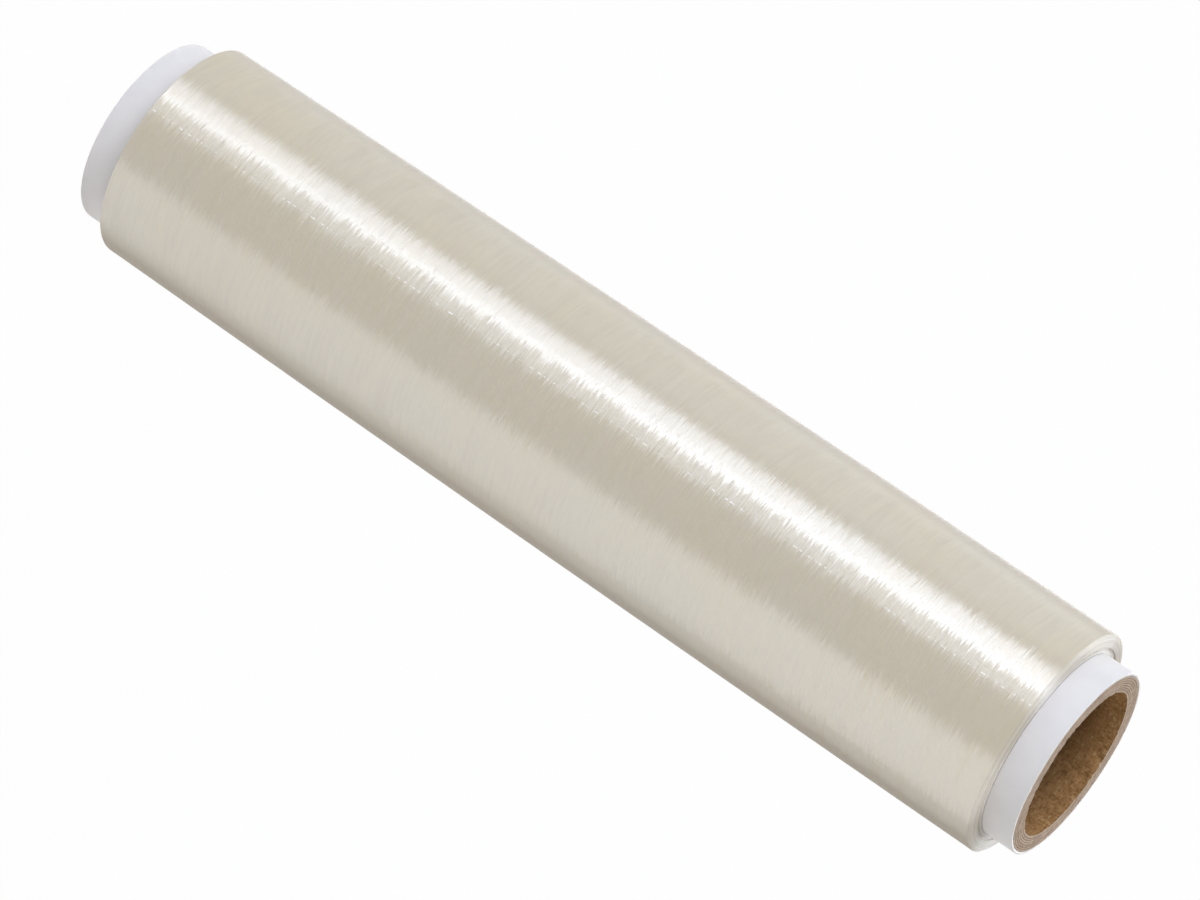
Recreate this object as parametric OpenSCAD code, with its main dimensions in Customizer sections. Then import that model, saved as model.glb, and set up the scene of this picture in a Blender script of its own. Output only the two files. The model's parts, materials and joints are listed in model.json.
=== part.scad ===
// A full roll of kitchen cling film on a faced paperboard core.
// It stands on one end of the core: the roll's axis is Z, and the floor is Z = 0.

/* [Film] */
// Width of the film, across the roll
film_w = 300; // [200:5:450]
// Diameter of the winding at its upper shoulder
film_d = 68.2; // [66:0.2:90]
// How much smaller the winding is at its lower shoulder, on the radius
film_cone = 1.2; // [0:0.1:1.6]
// How far the winding swells between its shoulders, on the radius
film_crown = 0.35; // [0.05:0.05:1]
// Radius of the soft shoulder at each end of the winding
shoulder_r = 3.2; // [1:0.2:5]
// Depth of the rings that the film's edges leave in each end of the winding
edge_ring_h = 0.3; // [0.05:0.05:0.5]

/* [Core] */
// Bore of the paperboard tube
core_bore_d = 45; // [38:0.5:46]
// Number of kraft plies in the tube's wall
plies = 7; // [3:1:7]
// Thickness of one kraft ply
ply_t = 0.7; // [0.5:0.05:0.8]
// Thickness of the white paper facing
facing_t = 0.9; // [0.5:0.1:1]
// How far the core stands out of the winding at each end, on average
core_stand_out = 10; // [4:1:20]
// How far the winding sits above the middle of the core
winding_rise = 0.5; // [-2:0.1:2]
// How deep the tight film presses into the facing
film_grip = 0.3; // [0.3:0.05:0.4]

/* [Hidden] */
$fn = 240;

core_len = film_w + 2 * core_stand_out;
mid_z = core_len / 2;
winding_z = mid_z + winding_rise;
half_w = film_w / 2;
bore_r = core_bore_d / 2;
tube_r = bore_r + plies * ply_t;
facing_r = tube_r + facing_t;
seat_r = facing_r - film_grip;
edge_r = film_d / 2;
lower_edge_r = edge_r - film_cone;

// The shoulders leave at least a third of the smaller end face flat.
shoulder = min(shoulder_r, (lower_edge_r - seat_r) * 2 / 3);
shoulder_z = half_w - shoulder;

// Sink of each ring from the core outwards, as a share of edge_ring_h.
ring_sinks = [0.3, 1, 0];
rings = len(ring_sinks);
// Where the rings start and stop between the seat, at 0, and the shoulder, at 1
ring_edges = [0, 0.45, 0.75, 1];

arc_steps = 10;
crown_steps = 16;

// The slit between two plies where they meet the saw cut
slit_w = 0.14;
slit_depth = 0.2;

// Radius of the paper edge where it rolls over the cut
paper_roll = facing_t / 2;

// Radius of the winding's cone, without its crown, for u from -1 at the lower shoulder to 1 at the upper
function cone_r(u) = edge_r - film_cone * (1 - u) / 2;

function crown_r(u) = cone_r(u) + film_crown * (1 - u * u);

// The rings in an end face that has the radius r outside, from the core out to the shoulder
function end_rings(r) =
    let (flat_w = r - shoulder - seat_r)
        [
            for (i = [0 : rings - 1], side = [0, 1])
                [seat_r + flat_w * ring_edges[i + side], half_w - edge_ring_h * ring_sinks[i]]
        ];

// The shoulder, from the end face round to the outside
function end_shoulder(r) = [
    for (i = [1 : arc_steps])
        let (turn = 90 - 90 * i / arc_steps)
            [r + shoulder * (cos(turn) - 1), shoulder_z + shoulder * sin(turn)]
];

function end_outline(r) = concat(end_rings(r), end_shoulder(r));

function crown_line() = [
    for (i = [1 : crown_steps - 1])
        let (u = 1 - 2 * i / crown_steps)
            [crown_r(u), shoulder_z * u]
];

// The same outline for the lower end, which runs the other way
function mirrored(outline) = [
    for (i = [len(outline) - 1 : -1 : 0])
        [outline[i][0], -outline[i][1]]
];

// All the turns of clear film, wound tight as one body
module film_winding() {
    color("antiquewhite")
        translate([0, 0, winding_z])
            rotate_extrude()
                polygon(concat(end_outline(edge_r), crown_line(), mirrored(end_outline(lower_edge_r))));
}

// The slits between the plies in one cut end of the tube
module ply_slits() {
    for (i = [1 : plies - 1])
        translate([bore_r + i * ply_t, 0])
            polygon([[-slit_w / 2, 0], [slit_w / 2, 0], [0, slit_depth]]);
}

// Kraft paperboard tube, wound from plies and cut square
module core_tube() {
    color("peru")
        rotate_extrude()
            difference() {
                translate([bore_r, 0])
                    square([tube_r - bore_r, core_len]);
                ply_slits();
                translate([0, core_len])
                    mirror([0, 1])
                        ply_slits();
            }
}

// Half of the facing's section: it ends in a quarter round at the saw cut
module facing_half() {
    translate([tube_r, paper_roll])
        square([facing_t, mid_z - paper_roll]);
    translate([tube_r, 0])
        square([facing_t - paper_roll, paper_roll]);
    translate([facing_r - paper_roll, paper_roll])
        intersection() {
            circle(r = paper_roll, $fn = 48);
            translate([0, -paper_roll])
                square(paper_roll);
        }
}

// White paper facing, pressed in a little where the film grips it
module core_facing() {
    color("white")
        rotate_extrude()
            difference() {
                union() {
                    facing_half();
                    translate([0, core_len])
                        mirror([0, 1])
                            facing_half();
                }
                translate([seat_r, winding_z - half_w])
                    square([film_grip * 2, film_w]);
            }
}

film_winding();
core_tube();
core_facing();
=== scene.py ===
# %% [markdown]
# # A roll of kitchen cling film
# The real thing is three pieces: many turns of clear film, the brown paperboard tube that they are wound on,
# and the white paper that faces the tube. Here they are dressed for a close look, around a model that already
# has their true sizes. The roll stands on one end of its tube, with its axis along Z.
#
# The first step loads that model. It is the fixed frame: its pieces say where everything is, and nothing here
# moves or resizes them.

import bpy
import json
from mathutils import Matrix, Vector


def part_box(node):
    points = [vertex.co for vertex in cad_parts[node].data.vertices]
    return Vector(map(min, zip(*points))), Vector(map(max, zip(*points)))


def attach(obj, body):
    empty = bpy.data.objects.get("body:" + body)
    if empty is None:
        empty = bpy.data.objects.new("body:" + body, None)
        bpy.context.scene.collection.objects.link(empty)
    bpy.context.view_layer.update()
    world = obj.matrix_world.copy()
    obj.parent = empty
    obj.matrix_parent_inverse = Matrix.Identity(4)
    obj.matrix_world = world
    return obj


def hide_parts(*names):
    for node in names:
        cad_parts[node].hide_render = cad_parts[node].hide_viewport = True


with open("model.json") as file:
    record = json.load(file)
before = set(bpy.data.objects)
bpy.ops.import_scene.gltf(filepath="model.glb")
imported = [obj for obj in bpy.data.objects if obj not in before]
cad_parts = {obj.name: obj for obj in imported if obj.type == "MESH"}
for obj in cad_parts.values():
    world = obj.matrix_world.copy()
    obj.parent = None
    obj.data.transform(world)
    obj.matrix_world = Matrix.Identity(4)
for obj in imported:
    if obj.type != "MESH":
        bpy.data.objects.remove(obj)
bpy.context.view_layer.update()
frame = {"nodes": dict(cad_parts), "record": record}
print("nodes:", sorted(frame["nodes"]))

# %% [markdown]
# ## Tools and units
# bmesh builds and edits meshes, and mathutils brings vectors, turns and noise. Blender counts in metres, so MM
# turns a size in millimetres into one that Blender reads. The Standard view shows colours as they are written.

# %% Modules and units
import json
import math

import bmesh
import bpy
from mathutils import Quaternion, Vector, noise

MM = 0.001
scene = bpy.context.scene
scene.view_settings.view_transform = "Standard"
print("Blender", bpy.app.version_string, "shows colours as", scene.view_settings.view_transform)

# %% [markdown]
# ## Sizes
# The outside sizes are read from the model, so the dressed pieces can't drift away from the solids. The bore
# isn't an outside size, so it comes from the record, which lists the bore as a place to mount a spindle. The
# seat is where the tight film grips the facing and presses it in a little.

# %% Read the sizes of the three pieces
FILM_GRIP = 0.3 * MM

film_low, film_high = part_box("film_winding")
tube_low, tube_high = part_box("core_tube")
face_low, face_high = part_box("core_facing")
film_r = film_high.x
tube_r = tube_high.x
face_r = face_high.x
bore_r = next(m["dims"]["r_mm"] for m in frame["record"]["mounts"] if m["name"] == "core_bore") * MM
film_mid = (film_low.z + film_high.z) / 2
film_half = (film_high.z - film_low.z) / 2
seat_r = face_r - FILM_GRIP
for name, r in (("film", film_r), ("facing", face_r), ("seat", seat_r), ("tube", tube_r), ("bore", bore_r)):
    print(f"{name}: {r / MM:.2f} mm in radius")

# %% [markdown]
# ## The camera
# A long lens from far off gives the nearly parallel edges of the picture. The camera looks down on the standing
# roll, and is itself turned about its line of sight, so that the roll lies across the picture on a slant with
# its upper end at the lower right. A camera that is turned like this needs one more rotation than one that is
# only aimed: first aim it along the line to the target, then roll it about its own Z axis.

# %% Make the camera
CAMERA_DISTANCE = 1.7783
CAMERA_ELEVATION = math.radians(18.868)
CAMERA_ROLL = math.radians(124.29)
TARGET = Vector((2.25 * MM, 0, 162.14 * MM))

camera_data = bpy.data.cameras.new("camera")
camera_data.lens = 198
camera_data.sensor_width = 36
camera_data.clip_start = 0.05
camera_data.clip_end = 60
camera = bpy.data.objects.new("camera", camera_data)
scene.collection.objects.link(camera)
back = Vector((0, -math.cos(CAMERA_ELEVATION), math.sin(CAMERA_ELEVATION)))
camera.location = TARGET + back * CAMERA_DISTANCE
camera.rotation_mode = "QUATERNION"
aim = (-back).to_track_quat("-Z", "Y")
camera.rotation_quaternion = aim @ Quaternion((0, 0, 1), CAMERA_ROLL)
scene.camera = camera
print("camera at", [round(c, 3) for c in camera.location])

# %% [markdown]
# ## Helpers for materials
# A node material is a small graph. A few helpers keep the graphs readable: one adds a node and fills in its
# inputs, with a number, a colour or another node's output, one starts a material with its shader, and three
# short ones stand for the nodes that come up most.

# %% Helpers that build node graphs
def add(tree, kind, inputs=(), **settings):
    """Adds a node. inputs maps a socket's name or number to a value, or to the output that feeds it."""
    made = tree.nodes.new("ShaderNode" + kind)
    for name, value in settings.items():
        setattr(made, name, value)
    for socket, value in dict(inputs).items():
        if isinstance(value, bpy.types.NodeSocket):
            tree.links.new(value, made.inputs[socket])
        else:
            made.inputs[socket].default_value = value
    return made


def new_material(name):
    """A material with an empty graph, its Principled shader and its output."""
    material = bpy.data.materials.new(name)
    material.use_nodes = True
    tree = material.node_tree
    tree.nodes.clear()
    shader = add(tree, "BsdfPrincipled")
    add(tree, "OutputMaterial", {"Surface": shader.outputs[0]})
    print("material:", name)
    return material, tree, shader


# %% Helpers for the most common nodes
def blend_colors(tree, share, first, second):
    """A colour that goes from first to second as share goes from 0 to 1."""
    mixed = add(tree, "Mix", {0: share, 6: first, 7: second}, data_type="RGBA")
    return mixed.outputs[2]


def math_node(tree, operation, first, second=0.5):
    """One step of arithmetic on numbers."""
    return add(tree, "Math", {0: first, 1: second}, operation=operation).outputs[0]


def ramp(tree, value, low, high, to_low=0.0, to_high=1.0):
    """Maps value from the range low to high onto to_low to to_high, smoothly, and holds it there."""
    mapped = add(
        tree,
        "MapRange",
        {"Value": value, 1: low, 2: high, 3: to_low, 4: to_high},
        interpolation_type="SMOOTHSTEP",
    )
    return mapped.outputs[0]


# %% [markdown]
# ## The room
# The floor and the world are plain white to the camera and to reflections, which is how the roll stands on a
# clean white ground without more light on it. All other rays see a softer white, so the colours of the pieces
# come out about as they are written. The floor keeps a small share of its true shading, and with it the shadow.

# %% Make the world
FLOOR_SIZE = 24.0
FLOOR_GREY = (0.82, 0.82, 0.82, 1)
WHITE = (1, 1, 1, 1)
GROUND_LIGHT = 0.05
SHADOW_SHARE = 0.02


def sees_background(tree):
    """1 for the rays that show the background as it is: from the camera, a reflection or clear plastic."""
    path = add(tree, "LightPath")
    seen = math_node(tree, "MAXIMUM", path.outputs["Is Camera Ray"], path.outputs["Is Glossy Ray"])
    return math_node(tree, "MAXIMUM", seen, path.outputs["Is Transmission Ray"])


world = bpy.data.worlds.new("studio")
scene.world = world
world.use_nodes = True
world.node_tree.nodes.clear()
strength = ramp(world.node_tree, sees_background(world.node_tree), 0, 1, GROUND_LIGHT, 1.0)
sky = add(world.node_tree, "Background", {"Color": WHITE, "Strength": strength})
add(world.node_tree, "OutputWorld", {"Surface": sky.outputs[0]})
print(f"world: white where it is seen, and {GROUND_LIGHT} of white as light")

# %% Make the floor
floor_mesh = bmesh.new()
bmesh.ops.create_grid(floor_mesh, x_segments=1, y_segments=1, size=FLOOR_SIZE / 2)
floor_data = bpy.data.meshes.new("floor")
floor_mesh.to_mesh(floor_data)
floor_mesh.free()
floor = bpy.data.objects.new("floor", floor_data)
scene.collection.objects.link(floor)

floor_material = bpy.data.materials.new("pale_floor")
floor_material.use_nodes = True
tree = floor_material.node_tree
tree.nodes.clear()
lit = add(tree, "BsdfDiffuse", {"Color": FLOOR_GREY})
plain = add(tree, "Emission", {"Color": WHITE, "Strength": 1.0})
share = math_node(tree, "MULTIPLY", sees_background(tree), 1 - SHADOW_SHARE)
floor_mix = add(tree, "MixShader", {0: share, 1: lit.outputs[0], 2: plain.outputs[0]})
add(tree, "OutputMaterial", {"Surface": floor_mix.outputs[0]})
floor_data.materials.append(floor_material)
print(f"floor: {FLOOR_SIZE} m wide, keeps {SHADOW_SHARE} of its shading")

# %% [markdown]
# ## The lamps
# A glossy cylinder is a mirror that squeezes the whole room into a few bands along its length, so the lamps
# are placed by the bands that they make. Three upright strips on the left make one highlight: a narrow bright
# one, with a faint one and a wide one beside it that soften its two flanks. The side, left and back panels
# light the edge beyond it. A wide panel on the right gives the broad pale band, and the gap between it and the
# strips, behind the camera, stays the darkest.
#
# Each lamp stands upright on a circle round the roll, and is set by its bearing from the camera, with the left
# side positive, by its width, by how bright its surface is, and by its colour. The strips have the bluish white
# of daylight, so that the beige film still has a white highlight, and the other lamps on the left are between
# that and the plain white on the right.

# %% Place the lamps
LAMP_DISTANCE = 4.4
LAMP_HEIGHT = 5.2
LAMP_CLEARANCE = 0.02
DAYLIGHT = (0.84, 0.89, 1.0)
COOL = (0.90, 0.945, 1.0)
NEUTRAL = (1.0, 1.0, 1.0)
LAMPS = [
    # name, bearing and width in degrees, brightness of its surface, colour
    ("glow_strip", 23, 8, 2.8, DAYLIGHT),
    ("bright_strip", 38.3, 6, 11.6, DAYLIGHT),
    ("soft_strip", 52, 16, 4.66, DAYLIGHT),
    ("side_panel", 96, 48, 0.71, COOL),
    ("left_panel", 138, 36, 1.42, COOL),
    ("back_panel", 168, 24, 3.5, COOL),
    ("right_panel", -75, 74, 1.30, NEUTRAL),
]


def place_panel(name, bearing, spread, brightness, color):
    """An upright soft panel that faces the roll. Its power follows from its size and brightness."""
    turn = math.radians(bearing)
    width = 2 * LAMP_DISTANCE * math.tan(math.radians(spread / 2))
    lamp = bpy.data.lights.new(name, "AREA")
    lamp.shape = "RECTANGLE"
    lamp.size = width
    lamp.size_y = LAMP_HEIGHT
    lamp.energy = brightness * math.pi * width * LAMP_HEIGHT
    lamp.color = color
    panel = bpy.data.objects.new(name, lamp)
    scene.collection.objects.link(panel)
    inwards = Vector((math.sin(turn), math.cos(turn), 0))
    panel.location = -inwards * LAMP_DISTANCE
    panel.location.z = LAMP_HEIGHT / 2 + LAMP_CLEARANCE
    panel.rotation_mode = "QUATERNION"
    panel.rotation_quaternion = inwards.to_track_quat("-Z", "Y")
    panel.visible_camera = False


for lamp_settings in LAMPS:
    place_panel(*lamp_settings)

# %% [markdown]
# ## Round pieces
# All three pieces are turned shapes: a closed outline swept once round the axis. In bmesh that is a few
# vertices joined by edges, and then the spin operator, with use_merge so that the last ring joins the first.
# The outline can be made finer before the spin: bevel rounds a corner of it, and subdivide_edges cuts a long
# side into many rings, which later carry small dents.

# %% Helpers that draw an outline
def start_outline(points):
    """A closed outline in the XZ plane, from (radius, height) pairs."""
    mesh = bmesh.new()
    corners = [mesh.verts.new((r, 0, z)) for r, z in points]
    for first, second in zip(corners, corners[1:] + corners[:1]):
        mesh.edges.new((first, second))
    return mesh


def cut_side(mesh, radius, height, cuts):
    """Cuts the outline's side whose middle is nearest to this point into cuts + 1 equal stretches."""
    point = Vector((radius, 0, height))
    side = min(mesh.edges, key=lambda e: ((e.verts[0].co + e.verts[1].co) / 2 - point).length)
    bmesh.ops.subdivide_edges(mesh, edges=[side], cuts=cuts)


def round_corner(mesh, radius, height, size, segments):
    """Rounds the outline's corner that is nearest to this point."""
    point = Vector((radius, 0, height))
    corner = min(mesh.verts, key=lambda v: (v.co - point).length)
    bmesh.ops.bevel(
        mesh,
        geom=[corner],
        offset=size,
        offset_type="OFFSET",
        segments=segments,
        profile=0.5,
        affect="VERTICES",
        clamp_overlap=False,
        material=-1,
    )


# %% Helpers that spin the outline and finish the piece
JOIN_DISTANCE = 0.0001 * MM


def spin_outline(mesh, steps):
    """Sweeps the outline once round Z, closes it and points its faces outwards."""
    bmesh.ops.spin(
        mesh,
        geom=mesh.verts[:] + mesh.edges[:],
        cent=(0, 0, 0),
        axis=(0, 0, 1),
        angle=math.tau,
        steps=steps,
        use_merge=True,
    )
    bmesh.ops.remove_doubles(mesh, verts=mesh.verts[:], dist=JOIN_DISTANCE)
    bmesh.ops.recalc_face_normals(mesh, faces=mesh.faces[:])


def finish_piece(mesh, name, node, material):
    """Makes the bmesh an object that rides on the frame in place of a node."""
    for face in mesh.faces:
        face.smooth = True
    data = bpy.data.meshes.new(name)
    mesh.to_mesh(data)
    mesh.free()
    piece = bpy.data.objects.new(name, data)
    scene.collection.objects.link(piece)
    data.materials.append(material)
    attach(piece, "root")
    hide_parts(node)
    triangles = sum(len(p.vertices) - 2 for p in data.polygons)
    print(f"{name}: {len(data.vertices)} vertices, {triangles} triangles")


# %% [markdown]
# ## Patterns shared by the materials
# Each pattern is a node group: a box of nodes with named sockets, made once and used by several materials.
# All of them read Object coordinates, in metres, so their detail has a real size.

# %% Helpers that build node groups
def start_group(name, inputs, outputs):
    """A new group. inputs maps a socket's name to its value, outputs maps a name to its socket type."""
    group = bpy.data.node_groups.new(name, "ShaderNodeTree")
    for socket_name, value in inputs.items():
        socket = group.interface.new_socket(socket_name, in_out="INPUT", socket_type="NodeSocketFloat")
        socket.default_value = value
    for socket_name, kind in outputs.items():
        group.interface.new_socket(socket_name, in_out="OUTPUT", socket_type=kind)
    entry = group.nodes.new("NodeGroupInput")
    leave = group.nodes.new("NodeGroupOutput")
    print(f"group {name}:", ", ".join(outputs))
    return group, entry.outputs, leave.inputs


def use_group(tree, group, **inputs):
    """Adds a group to a material. A socket named Two Words is given as Two_Words."""
    node = tree.nodes.new("ShaderNodeGroup")
    node.node_tree = group
    for name, value in inputs.items():
        socket = node.inputs[name.replace("_", " ")]
        if isinstance(value, bpy.types.NodeSocket):
            tree.links.new(value, socket)
        else:
            socket.default_value = value
    return node.outputs


def vector_math(tree, operation, first, second=None, scale=None):
    """One step of arithmetic on vectors."""
    inputs = {0: first}
    if second is not None:
        inputs[1] = second
    if scale is not None:
        inputs["Scale"] = scale
    made = add(tree, "VectorMath", inputs, operation=operation)
    return made.outputs["Value"] if operation in ("LENGTH", "DOT_PRODUCT") else made.outputs["Vector"]


# %% [markdown]
# ### Streaks round the roll
# Stretched film has fine lines along its length, so on the roll they run round it. The pattern is a noise that
# is squeezed along Z and long across it. A second, slow noise first pushes the lines up and down a little, so
# that they cross each other at a slight slant, like real creases.

# %% Group: hoop streaks
streak_group, given, result = start_group(
    "hoop_streaks",
    {"Around": 0.014, "Along": 0.0007, "Slant": 0.002, "Seed": 0.0},
    {"Height": "NodeSocketFloat"},
)
tree = streak_group
spot = add(tree, "TexCoord").outputs["Object"]
slow = add(tree, "TexNoise", {"Vector": spot, "Scale": 24.0, "Detail": 1.0}).outputs[0]
push = math_node(tree, "MULTIPLY", math_node(tree, "SUBTRACT", slow, 0.5), given["Slant"])
parts = add(tree, "SeparateXYZ", {0: spot})
along = math_node(tree, "DIVIDE", math_node(tree, "ADD", parts.outputs[2], push), given["Along"])
across = [math_node(tree, "DIVIDE", parts.outputs[i], given["Around"]) for i in range(2)]
stretched = add(
    tree,
    "CombineXYZ",
    {0: across[0], 1: across[1], 2: math_node(tree, "ADD", along, given["Seed"])},
).outputs[0]
streaks = add(tree, "TexNoise", {"Vector": stretched, "Scale": 1.0, "Detail": 4.0, "Roughness": 0.62})
tree.links.new(streaks.outputs[0], result["Height"])

# %% [markdown]
# ### Lines that lean round the roll
# A highlight on a smooth cylinder has straight edges. Here each fine line of film leans a little to one side
# or the other, so it catches the light earlier or later than its neighbours, and the edge of the highlight
# frays. The group turns the surface's normal by a small angle about the roll's axis.

# %% Group: leaning lines
lean_group, given, result = start_group(
    "leaning_lines", {"Lean": 0.0, "Strength": 0.1}, {"Normal": "NodeSocketVector"}
)
tree = lean_group
spot = add(tree, "TexCoord").outputs["Object"]
parts = add(tree, "SeparateXYZ", {0: spot})
minus_y = math_node(tree, "MULTIPLY", parts.outputs[1], -1.0)
around = add(tree, "CombineXYZ", {0: minus_y, 1: parts.outputs[0], 2: 0.0}).outputs[0]
around = vector_math(tree, "NORMALIZE", around)
size = math_node(tree, "MULTIPLY", math_node(tree, "SUBTRACT", given["Lean"], 0.5), given["Strength"])
lean = vector_math(tree, "SCALE", around, scale=size)
leaning = vector_math(tree, "ADD", add(tree, "NewGeometry").outputs["Normal"], lean)
tree.links.new(vector_math(tree, "NORMALIZE", leaning), result["Normal"])

# %% [markdown]
# ### Paper fibres
# Board and paper are felts of short fibres. Two noises at right angles, each about three times as long as it
# is wide, give crossing strands, and a third adds the soft cloudiness of uneven pulp. A last noise bends the
# strands a little, so that they don't look woven.

# %% Group: paper fibres
fibre_group, given, result = start_group(
    "paper_fibres",
    {"Fibre": 0.0006, "Cloud": 0.004},
    {"Height": "NodeSocketFloat", "Cloud": "NodeSocketFloat"},
)
tree = fibre_group
spot = add(tree, "TexCoord").outputs["Object"]
warp = add(tree, "TexNoise", {"Vector": spot, "Scale": 500.0, "Detail": 1.0}).outputs[1]
bent = vector_math(tree, "ADD", spot, vector_math(tree, "SCALE", warp, scale=0.0015))
fibre_scale = math_node(tree, "DIVIDE", 1.0, given["Fibre"])
strands = []
for stretch in ((1.0, 1.0, 0.33), (0.33, 0.4, 1.0)):
    turned = vector_math(tree, "MULTIPLY", bent, stretch)
    sized = vector_math(tree, "SCALE", turned, scale=fibre_scale)
    strands.append(add(tree, "TexNoise", {"Vector": sized, "Scale": 1.0, "Detail": 3.0}).outputs[0])
felt = math_node(tree, "MULTIPLY", math_node(tree, "ADD", strands[0], strands[1]), 0.5)
cloud_scale = math_node(tree, "DIVIDE", 1.0, given["Cloud"])
cloud = add(tree, "TexNoise", {"Vector": spot, "Scale": cloud_scale, "Detail": 2.0}).outputs[0]
tree.links.new(felt, result["Height"])
tree.links.new(cloud, result["Cloud"])

# %% [markdown]
# ### Distance from the axis
# Rings in a cut end follow the radius, which is the length of the position's X and Y.

# %% Group: radius in millimetres
radius_group, given, result = start_group("radius_mm", {}, {"Radius": "NodeSocketFloat"})
tree = radius_group
spot = add(tree, "TexCoord").outputs["Object"]
flat = vector_math(tree, "MULTIPLY", spot, (1.0, 1.0, 0.0))
radius = math_node(tree, "MULTIPLY", vector_math(tree, "LENGTH", flat), 1000.0)
tree.links.new(radius, result["Radius"])

# %% [markdown]
# ### The film's free end, with painted glints
# The last turn ends in a straight edge along the roll. It clings flat, so all that shows is a hair-fine line of
# tiny glints. These are painted: the group gives a mask of painted glints along that line, which lies at a
# bearing from the camera and wanders a little. It turns the position so that the line runs through X = 0 on
# the front, where Y is negative.

# %% Group: painted glints on the film's free end
FREE_END_BEARING = 9.6

free_end_group, given, result = start_group("free_end_painted_glint", {"Bearing": 0.0}, {"Painted Glint": "NodeSocketFloat"})
tree = free_end_group
spot = add(tree, "TexCoord").outputs["Object"]
parts = add(tree, "SeparateXYZ", {0: spot})
angle = math_node(tree, "RADIANS", given["Bearing"])
sine, cosine = math_node(tree, "SINE", angle), math_node(tree, "COSINE", angle)
x_part = math_node(tree, "MULTIPLY", parts.outputs[0], cosine)
sideways = math_node(tree, "SUBTRACT", x_part, math_node(tree, "MULTIPLY", parts.outputs[1], sine))
y_part = math_node(tree, "MULTIPLY", parts.outputs[1], cosine)
front = math_node(tree, "ADD", math_node(tree, "MULTIPLY", parts.outputs[0], sine), y_part)
wander = add(tree, "TexNoise", {"W": parts.outputs[2], "Scale": 22.0}, noise_dimensions="1D").outputs[0]
sideways = math_node(tree, "ADD", sideways, ramp(tree, wander, 0.3, 0.7, -0.0003, 0.0003))
line = ramp(tree, math_node(tree, "ABSOLUTE", sideways), 0.0001, 0.00028, 1.0, 0.0)
dots = add(tree, "TexNoise", {"W": parts.outputs[2], "Scale": 620.0}, noise_dimensions="1D").outputs[0]
runs = add(tree, "TexNoise", {"W": parts.outputs[2], "Scale": 65.0}, noise_dimensions="1D").outputs[0]
# The dots and runs make the painted glints, dashes of painted highlight along the line.
painted_glint = math_node(tree, "MULTIPLY", ramp(tree, dots, 0.48, 0.60), ramp(tree, runs, 0.36, 0.62, 0.1, 1.0))
painted_glint = math_node(tree, "MULTIPLY", painted_glint, line)
tree.links.new(math_node(tree, "MULTIPLY", painted_glint, math_node(tree, "LESS_THAN", front, 0.0)), result["Painted Glint"])

# %% [markdown]
# ## The clear film: its finish
# One turn of cling film is clear. Hundreds of turns with thin air between them send light back and forth and
# give a pearly beige body, with a bright sheen. The sheen spreads much further along the roll than round it,
# because the fine lines scatter light across themselves. The shader's anisotropy does that: the radial tangent
# runs round the roll, and a quarter turn of the rotation puts the wide direction along the axis.
#
# One sheet of film reflects a few hundredths of the light that falls straight on it. Here the turns below
# reflect too, one behind the other, and an index of refraction of 4, which gives back about a third, stands
# for them all. At the ends the film's edges show as fine rings, on a paler colour. Next to the core the ends
# are paler still: painted light that lifts the shade in the corner between the film and its white paper.
# Towards the outline of the roll the colour deepens, partly because the eye looks through more film, and
# partly as painted shade along the roll's edges.

# %% Clear film: its colours
FILM_WARM = (0.465, 0.37, 0.195, 1)
FILM_COOL = (0.455, 0.38, 0.23, 1)
FILM_DEEP = (0.37, 0.285, 0.15, 1)
# Partly painted shade at the outline:
FILM_OUTLINE_SHADE = (0.22, 0.145, 0.06, 1)
# The ends' own paler colour, also used as painted light by the core:
FILM_END_AND_CORNER_LIGHT = (0.72, 0.64, 0.50, 1)
RING_GLEAM = (0.80, 0.76, 0.68, 1)
# Painted light next to the core:
CORE_CORNER_PAINTED_LIGHT = (0.92, 0.87, 0.80, 1)
# Painted glints along the free end:
FREE_END_PAINTED_GLINT = (0.96, 0.93, 0.87, 1)

# %% Clear film: the patterns that it uses
film_material, tree, shader = new_material("clear_film")
fine = use_group(tree, streak_group, Around=0.014, Along=0.0009, Slant=0.003, Seed=0.0)["Height"]
broad = use_group(tree, streak_group, Around=0.030, Along=0.0045, Slant=0.006, Seed=31.0)["Height"]
tilt = use_group(tree, streak_group, Around=0.006, Along=0.00030, Slant=0.002, Seed=57.0)["Height"]
creases = use_group(tree, streak_group, Around=0.0005, Along=0.030, Slant=0.0, Seed=83.0)["Height"]
spot = add(tree, "TexCoord").outputs["Object"]
patch = add(tree, "TexNoise", {"Vector": spot, "Scale": 28.0, "Detail": 2.0}).outputs[0]
end_way = add(tree, "SeparateXYZ", {0: add(tree, "TexCoord").outputs["Normal"]}).outputs[2]
end_share = ramp(tree, math_node(tree, "ABSOLUTE", end_way), 0.08, 0.35)
facing_share = add(tree, "LayerWeight", {"Blend": 0.5}).outputs["Facing"]

# %% Clear film: the colour of its body
body = blend_colors(tree, ramp(tree, patch, 0.35, 0.65), FILM_WARM, FILM_COOL)
color = blend_colors(tree, ramp(tree, fine, 0.30, 0.62, 0.75, 0.0), body, FILM_DEEP)
color = blend_colors(tree, ramp(tree, broad, 0.30, 0.62, 0.55, 0.0), color, FILM_DEEP)

# %% Clear film: the rings in its ends, and painted light by the core
seat_mm = seat_r / MM
radius = use_group(tree, radius_group)["Radius"]
height_mm = math_node(tree, "MULTIPLY", add(tree, "SeparateXYZ", {0: spot}).outputs[2], 1 / MM)
from_middle = math_node(tree, "ABSOLUTE", math_node(tree, "SUBTRACT", height_mm, film_mid / MM))
ring_place = math_node(tree, "SUBTRACT", radius, from_middle)
rings = add(tree, "TexNoise", {"W": ring_place, "Scale": 1.9, "Detail": 2.0}, noise_dimensions="1D").outputs[0]


def blend_at_ends(share, first, second):
    """Blends two colours on the winding's ends only."""
    return blend_colors(tree, math_node(tree, "MULTIPLY", share, end_share), first, second)


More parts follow.
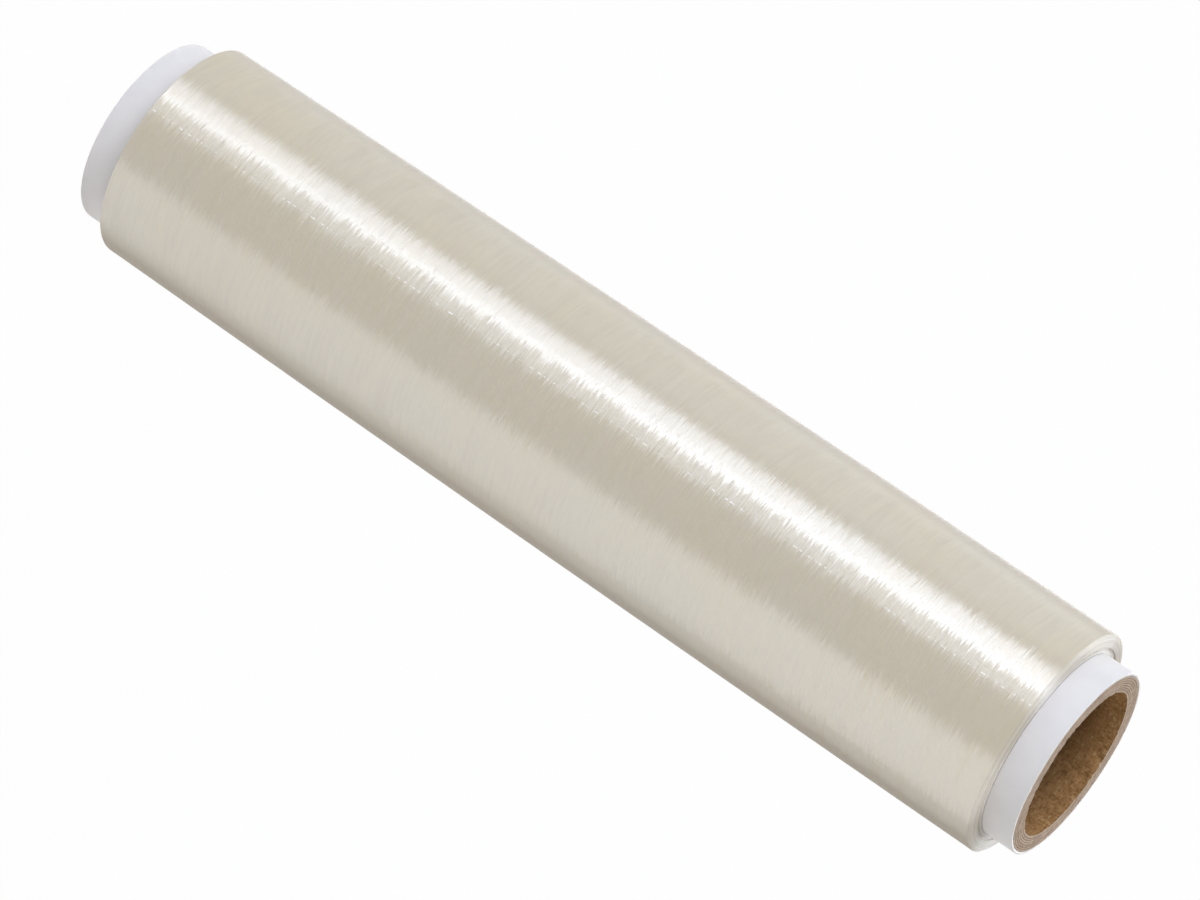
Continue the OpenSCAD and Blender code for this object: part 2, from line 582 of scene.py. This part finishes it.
color = blend_at_ends(0.5, color, FILM_END_AND_CORNER_LIGHT)
# Painted light: the ends grow paler towards the core, lifting the shade in the corner by the paper.
color = blend_at_ends(ramp(tree, radius, seat_mm + 0.6, seat_mm + 4.6, 0.9, 0.0), color, FILM_END_AND_CORNER_LIGHT)
color = blend_at_ends(ramp(tree, rings, 0.36, 0.50, 0.75, 0.0), color, FILM_DEEP)
color = blend_at_ends(ramp(tree, rings, 0.52, 0.66, 0.0, 0.8), color, RING_GLEAM)
# More painted light, right next to the core.
color = blend_at_ends(ramp(tree, radius, seat_mm + 0.3, seat_mm + 1.6, 0.9, 0.0), color, CORE_CORNER_PAINTED_LIGHT)
print(f"film ends: their rings start at a radius of {seat_mm:.1f} mm")

# %% Clear film: painted glints on its free end, and a deeper colour at its outline that is partly painted shade
free_end_painted_glint = use_group(tree, free_end_group, Bearing=FREE_END_BEARING)["Painted Glint"]
color = blend_colors(tree, math_node(tree, "MULTIPLY", free_end_painted_glint, 0.75), color, FREE_END_PAINTED_GLINT)
# Partly painted shade: the colour darkens where the surface turns away from the camera, at the outline.
color = blend_colors(tree, ramp(tree, facing_share, 0.5, 0.95, 0.0, 0.9), color, FILM_OUTLINE_SHADE)
tree.links.new(color, shader.inputs["Base Color"])

# %% Clear film: its sheen
rough_fine = ramp(tree, fine, 0.3, 0.7, 0.31, 0.43)
rough = math_node(tree, "ADD", rough_fine, ramp(tree, broad, 0.3, 0.7, -0.03, 0.03))
rough = math_node(tree, "ADD", rough, ramp(tree, facing_share, 0.55, 0.85, 0.0, 0.35))
rough = math_node(tree, "ADD", rough, math_node(tree, "MULTIPLY", end_share, 0.15))
tree.links.new(rough, shader.inputs["Roughness"])
shader.inputs["IOR"].default_value = 4.0
shader.inputs["Anisotropic"].default_value = 1.0
shader.inputs["Anisotropic Rotation"].default_value = 0.25
shader.inputs["Subsurface Weight"].default_value = 0.25
shader.inputs["Subsurface Radius"].default_value = (1.0, 0.8, 0.5)
shader.inputs["Subsurface Scale"].default_value = 6 * MM
tangent = add(tree, "Tangent", direction_type="RADIAL", axis="Z")
tree.links.new(tangent.outputs[0], shader.inputs["Tangent"])

# %% Clear film: its relief
RING_RELIEF = 6.0

crease_tilt = ramp(tree, creases, 0.62, 0.74, 0.0, 0.35)
lean = math_node(tree, "ADD", tilt, math_node(tree, "MULTIPLY", crease_tilt, tilt))
leaning = use_group(tree, lean_group, Lean=lean, Strength=0.35)["Normal"]
ring_relief = math_node(tree, "MULTIPLY", math_node(tree, "MULTIPLY", rings, end_share), RING_RELIEF)
height = math_node(tree, "ADD", fine, ring_relief)
relief = add(tree, "Bump", {"Height": height, "Normal": leaning, "Distance": 0.03 * MM, "Strength": 1.0})
tree.links.new(relief.outputs[0], shader.inputs["Normal"])
print("clear film:", len(tree.nodes), "nodes")

# %% [markdown]
# ## The clear film: its shape
# Fresh film is wound under tension. This winding swells a little towards its middle and is a bit thicker at
# its upper end. The ends roll over in soft shoulders, and the film's edges don't line up, so each end shows
# fine rings. Small differences in the film's thickness build up, turn upon turn, into low bands round the roll.
#
# The outline has only its corners. The shoulders are beveled into it, the sides are cut into rings, and after
# the spin each vertex on the outside moves by a noise that is stretched round the roll.

# %% Draw the winding's outline
SHOULDER = 3.2 * MM
CROWN = 0.35 * MM
CONE = 1.2 * MM
RING_DEPTH = 0.3 * MM
RING_SINKS = (0.3, 1.0, 0.0)
RING_EDGES = (0.0, 0.45, 0.75, 1.0)
WALL_CUTS = 359
SHOULDER_STEPS = 18
RING_CUTS = 5
WINDING_STEPS = 200

# The model's widest point is where its crown and its cone add up to the most.
upper_edge_r = film_r - (CONE**2 / (16 * CROWN) + CROWN - CONE / 2)
lower_edge_r = upper_edge_r - CONE


def end_face(edge_r, side):
    """One end's outline, from the core to its square corner. side is 1 for the upper end, -1 for the lower."""
    flat_w = edge_r - SHOULDER - seat_r
    points = []
    for number, sink in enumerate(RING_SINKS):
        for edge in RING_EDGES[number : number + 2]:
            points.append((seat_r + flat_w * edge, film_mid + side * (film_half - RING_DEPTH * sink)))
    points[-1] = (edge_r, film_mid + side * film_half)
    return points


winding = start_outline(end_face(upper_edge_r, 1) + end_face(lower_edge_r, -1)[::-1])
cut_side(winding, (upper_edge_r + lower_edge_r) / 2, film_mid, WALL_CUTS)
for edge_r, side in ((upper_edge_r, 1), (lower_edge_r, -1)):
    round_corner(winding, edge_r, film_mid + side * film_half, SHOULDER, SHOULDER_STEPS)
    flat_w = edge_r - SHOULDER - seat_r
    for number, sink in enumerate(RING_SINKS):
        middle = seat_r + flat_w * (RING_EDGES[number] + RING_EDGES[number + 1]) / 2
        cut_side(winding, middle, film_mid + side * (film_half - RING_DEPTH * sink), RING_CUTS)
print("outline:", len(winding.verts), "points")

# %% Helpers that push the surface in and out
def hoop_noise(point, along, around, seed):
    """Noise that changes over the length along, up the roll, and over the length around, round it."""
    return noise.noise(Vector((point.x / around, point.y / around, point.z / along + seed)))


def set_radius(vertex, change):
    """Moves a vertex away from the axis by a change of its radius."""
    radius = math.hypot(vertex.co.x, vertex.co.y)
    vertex.co.x *= 1 + change / radius
    vertex.co.y *= 1 + change / radius


# %% Spin the winding and shape its surface
BAND = 0.020 * MM
RIDGE = 0.010 * MM
LAYER = 0.05 * MM
LAYER_PITCH = 0.22 * MM
NEAR_SEAT = 0.02 * MM
TINY = 0.001 * MM

spin_outline(winding, WINDING_STEPS)
for vertex in winding.verts:
    radius = math.hypot(vertex.co.x, vertex.co.y)
    if radius < seat_r + NEAR_SEAT:
        continue
    height = vertex.co.z - film_mid
    edge_r = upper_edge_r if height > 0 else lower_edge_r
    above = max(abs(height) - (film_half - SHOULDER), 0)
    turn = math.atan2(above, max(radius - (edge_r - SHOULDER), TINY))
    share = height / (film_half - SHOULDER)
    bands = BAND * hoop_noise(vertex.co, along=9 * MM, around=160 * MM, seed=3.7)
    ridges = RIDGE * hoop_noise(vertex.co, along=2.2 * MM, around=30 * MM, seed=9.1)
    ring = noise.noise(Vector((radius / LAYER_PITCH, 4.0, math.copysign(5, height))))
    wander = hoop_noise(vertex.co, along=40 * MM, around=14 * MM, seed=2.0)
    unevenness = (bands + ridges - BAND - RIDGE) * math.cos(turn)
    set_radius(vertex, CROWN * max(1 - share * share, 0) + unevenness)
    layers = LAYER * (0.6 * ring + 0.4 * wander + 0.5) * math.sin(turn)
    vertex.co.z -= math.copysign(layers, height)

finish_piece(winding, "clear_film_turns", "film_winding", film_material)

# %% [markdown]
# ## The white facing: its finish
# The outermost ply of the tube is smooth white paper with hardly any texture, and it shines only a little. Its
# own white is a touch warm, and the bluish lamps turn it neutral. Its cut edge is creamier.

# %% Material: white paper
PAPER_DULL = (0.795, 0.765, 0.75, 1)
PAPER_PALE = (0.83, 0.80, 0.78, 1)
PAPER_CUT = (0.86, 0.80, 0.74, 1)

paper_material, tree, shader = new_material("white_paper")
felt = use_group(tree, fibre_group, Fibre=0.0004, Cloud=0.009)
tone = ramp(tree, felt["Cloud"], 0.3, 0.7)
color = blend_colors(tree, tone, PAPER_DULL, PAPER_PALE)
facing_way = add(tree, "SeparateXYZ", {0: add(tree, "TexCoord").outputs["Normal"]}).outputs[2]
cut_share = ramp(tree, math_node(tree, "ABSOLUTE", facing_way), 0.5, 0.9)
color = blend_colors(tree, cut_share, color, PAPER_CUT)
tree.links.new(color, shader.inputs["Base Color"])
tree.links.new(ramp(tree, felt["Height"], 0.3, 0.7, 0.42, 0.52), shader.inputs["Roughness"])
relief = add(tree, "Bump", {"Height": felt["Height"], "Distance": 0.04 * MM, "Strength": 0.5})
tree.links.new(relief.outputs[0], shader.inputs["Normal"])

# %% [markdown]
# ## The white facing: its shape
# The paper stands out past the winding at both ends, and the saw leaves its edge slightly rolled. Under the
# film it is pressed in. The spin starts from an outline of eight corners, two of them rounded. The
# rim then wavers a little, as cut paper does.

# %% Build the facing
FACING_STEPS = 240
RIM_ROLL = 0.25 * MM
RIM_STEPS = 6
RIM_CUTS = 39
RIM_WAVER = 0.06 * MM
SAW_WAVER = 0.10 * MM

facing = start_outline(
    [
        (tube_r, face_low.z),
        (face_r, face_low.z),
        (face_r, film_low.z),
        (seat_r, film_low.z),
        (seat_r, film_high.z),
        (face_r, film_high.z),
        (face_r, face_high.z),
        (tube_r, face_high.z),
    ]
)
cut_side(facing, face_r, (face_low.z + film_low.z) / 2, RIM_CUTS)
cut_side(facing, face_r, (face_high.z + film_high.z) / 2, RIM_CUTS)
for z in (face_low.z, face_high.z):
    round_corner(facing, face_r, z, RIM_ROLL, RIM_STEPS)
spin_outline(facing, FACING_STEPS)

# %% Let the facing's rims waver
CLEAR_OF_FILM = 1 * MM
CLEAR_OF_TUBE = 0.05 * MM

face_mid = (face_low.z + face_high.z) / 2
face_half = (face_high.z - face_low.z) / 2
for vertex in facing.verts:
    height = vertex.co.z - face_mid
    if abs(height) > film_half + CLEAR_OF_FILM:
        rim = ((abs(height) - film_half) / (face_half - film_half)) ** 2
        radius = math.hypot(vertex.co.x, vertex.co.y)
        if radius > tube_r + CLEAR_OF_TUBE:
            waver = hoop_noise(vertex.co, along=30 * MM, around=11 * MM, seed=5.3)
            set_radius(vertex, -RIM_WAVER * rim * (0.5 + 0.5 * waver))
        cut = hoop_noise(vertex.co, along=30 * MM, around=6 * MM, seed=8.8)
        vertex.co.z -= math.copysign(SAW_WAVER * rim * rim * (0.5 + 0.5 * cut), height)

finish_piece(facing, "white_paper_facing", "core_facing", paper_material)

# %% [markdown]
# ## The kraft tube: its finish
# Brown board has two faces here. The cut end shows the plies edge on: pale, dusty from the saw, with a dark
# glue line at each joint. Inside, the bore is the smooth side of kraft paper, darker and mottled with fibres.
# The surface's own direction tells them apart: the cut faces up or down, and the bore faces sideways. The
# bore also gets painted shade that deepens over its first 15 mm, more than the soft light of this simple room
# would make it.

# %% Kraft board: its plies and colours
PLIES = 7
PLY = (tube_r - bore_r) / PLIES
CUT_DULL = (0.62, 0.45, 0.325, 1)
CUT_PALE = (0.71, 0.535, 0.395, 1)
CUT_SHADE = (0.36, 0.25, 0.165, 1)
GLUE_LINE = (0.17, 0.105, 0.06, 1)
INNER_LIP = (0.70, 0.60, 0.46, 1)
BORE_DULL = (0.34, 0.178, 0.065, 1)
BORE_PALE = (0.42, 0.225, 0.088, 1)
BORE_SHADE = (0.13, 0.062, 0.015, 1)
BORE_FLECK = (0.58, 0.38, 0.18, 1)
# Painted shade deep in the bore:
BORE_PAINTED_SHADE = (0.12, 0.06, 0.018, 1)
print(f"{PLIES} plies of {PLY / MM:.2f} mm")

# %% Kraft board: the patterns that it uses
kraft_material, tree, shader = new_material("kraft_board")
radius = use_group(tree, radius_group)["Radius"]
felt = use_group(tree, fibre_group, Fibre=0.0006, Cloud=0.004)
spot = add(tree, "TexCoord").outputs["Object"]
wobble = add(tree, "TexNoise", {"Vector": spot, "Scale": 220.0, "Detail": 2.0}).outputs[0]
facing_way = add(tree, "SeparateXYZ", {0: add(tree, "TexCoord").outputs["Normal"]}).outputs[2]
cut_share = ramp(tree, math_node(tree, "ABSOLUTE", facing_way), 0.35, 0.75)

# %% Kraft board: the plies in its cut ends
layer = math_node(tree, "DIVIDE", math_node(tree, "SUBTRACT", radius, bore_r / MM), PLY / MM)
layer = math_node(tree, "ADD", layer, ramp(tree, wobble, 0.3, 0.7, -0.12, 0.12))
joint = ramp(tree, math_node(tree, "PINGPONG", layer, 0.5), 0.02, 0.17, 1.0, 0.0)
ply_number = math_node(tree, "FLOOR", layer)
ply_tone = add(tree, "TexWhiteNoise", {"W": ply_number}, noise_dimensions="1D").outputs[0]
cut_color = blend_colors(tree, ply_tone, CUT_DULL, CUT_PALE)
cut_color = blend_colors(tree, ramp(tree, felt["Height"], 0.35, 0.6, 0.45, 0.0), cut_color, CUT_SHADE)
cut_color = blend_colors(tree, math_node(tree, "MULTIPLY", joint, 0.85), cut_color, GLUE_LINE)
lip = ramp(tree, radius, bore_r / MM + 0.10, bore_r / MM + 0.32, 0.8, 0.0)
cut_color = blend_colors(tree, lip, cut_color, INNER_LIP)

# %% Kraft board: its bore
tube_mid_mm = (tube_high.z + tube_low.z) / 2 / MM
tube_half_mm = (tube_high.z - tube_low.z) / 2 / MM
height_mm = math_node(tree, "MULTIPLY", add(tree, "SeparateXYZ", {0: spot}).outputs[2], 1 / MM)
from_middle = math_node(tree, "ABSOLUTE", math_node(tree, "SUBTRACT", height_mm, tube_mid_mm))
depth = math_node(tree, "SUBTRACT", tube_half_mm, from_middle)
bore_color = blend_colors(tree, ramp(tree, felt["Cloud"], 0.3, 0.7), BORE_DULL, BORE_PALE)
bore_color = blend_colors(tree, ramp(tree, felt["Height"], 0.36, 0.5, 0.65, 0.0), bore_color, BORE_SHADE)
bore_color = blend_colors(tree, ramp(tree, felt["Height"], 0.52, 0.66, 0.0, 0.8), bore_color, BORE_FLECK)
# Painted shade: the bore darkens with depth, over its first 15 mm.
bore_color = blend_colors(tree, ramp(tree, depth, 1.0, 15.0, 0.0, 0.7), bore_color, BORE_PAINTED_SHADE)

# %% Kraft board: its surface
tree.links.new(blend_colors(tree, cut_share, bore_color, cut_color), shader.inputs["Base Color"])
shader.inputs["Roughness"].default_value = 0.85
shader.inputs["Specular IOR Level"].default_value = 0.2
relief = add(tree, "Bump", {"Height": felt["Height"], "Distance": 0.25 * MM, "Strength": 0.7})
tree.links.new(relief.outputs[0], shader.inputs["Normal"])
print("kraft board:", len(tree.nodes), "nodes")

# %% [markdown]
# ## The kraft tube: its shape
# The tube is a square-cut pipe of seven plies, with a narrow slit between them where each joint meets the cut.
# The outline cuts those slits into its ends. A saw leaves the inner edge ragged: burrs lean into the bore,
# and here and there a chip is missing. So after the spin the vertices near the edge move by a quick noise.

# %% Draw the tube's outline and spin it
TUBE_STEPS = 480
SLIT_WIDTH = 0.14 * MM
SLIT_DEPTH = 0.2 * MM
BORE_CUTS = 40
PLY_CUTS = 2
LIP_ROUND = 0.16 * MM
LIP_STEPS = 3

tube_half = (tube_high.z - tube_low.z) / 2
tube_mid = (tube_high.z + tube_low.z) / 2
upper = [(bore_r, tube_half)]
for joint_number in range(1, PLIES):
    joint_r = bore_r + joint_number * PLY
    upper += [
        (joint_r - SLIT_WIDTH / 2, tube_half),
        (joint_r, tube_half - SLIT_DEPTH),
        (joint_r + SLIT_WIDTH / 2, tube_half),
    ]
upper.append((tube_r, tube_half))
lower = [(r, -z) for r, z in reversed(upper)]
tube = start_outline([(r, tube_mid + z) for r, z in upper + lower])
for z in (tube_half, -tube_half):
    for number in range(PLIES):
        cut_side(tube, bore_r + (number + 0.5) * PLY, tube_mid + z, PLY_CUTS)
    round_corner(tube, bore_r, tube_mid + z, LIP_ROUND, LIP_STEPS)
cut_side(tube, bore_r, tube_mid, BORE_CUTS)
spin_outline(tube, TUBE_STEPS)

# %% Roughen the tube's cut ends
EDGE_DEPTH = 1.2 * MM
LIP_WIDTH = 0.5 * MM
SAW_ROUGHNESS = 0.05 * MM
CHIP = 0.80 * MM
BURR = 0.35 * MM

for vertex in tube.verts:
    radius = math.hypot(vertex.co.x, vertex.co.y)
    height = vertex.co.z - tube_mid
    depth = tube_half - abs(height)
    if depth > EDGE_DEPTH or radius > tube_r - SAW_ROUGHNESS:
        continue
    quick = hoop_noise(vertex.co, along=5 * MM, around=1.1 * MM, seed=6.1)
    slow = hoop_noise(vertex.co, along=30 * MM, around=5 * MM, seed=1.7)
    near_lip = max(1 - (radius - bore_r) / LIP_WIDTH, 0)
    chip = max(quick + 0.4 * slow - 0.15, 0)
    grain = hoop_noise(vertex.co, along=9 * MM, around=1.6 * MM, seed=12.0)
    rough_cut = SAW_ROUGHNESS * (0.5 + 0.5 * grain)
    vertex.co.z -= math.copysign(rough_cut + CHIP * chip * near_lip, height)
    if near_lip > 0:
        set_radius(vertex, -BURR * near_lip * max(-quick - 0.1 * slow, -0.2))

finish_piece(tube, "kraft_tube", "core_tube", kraft_material)
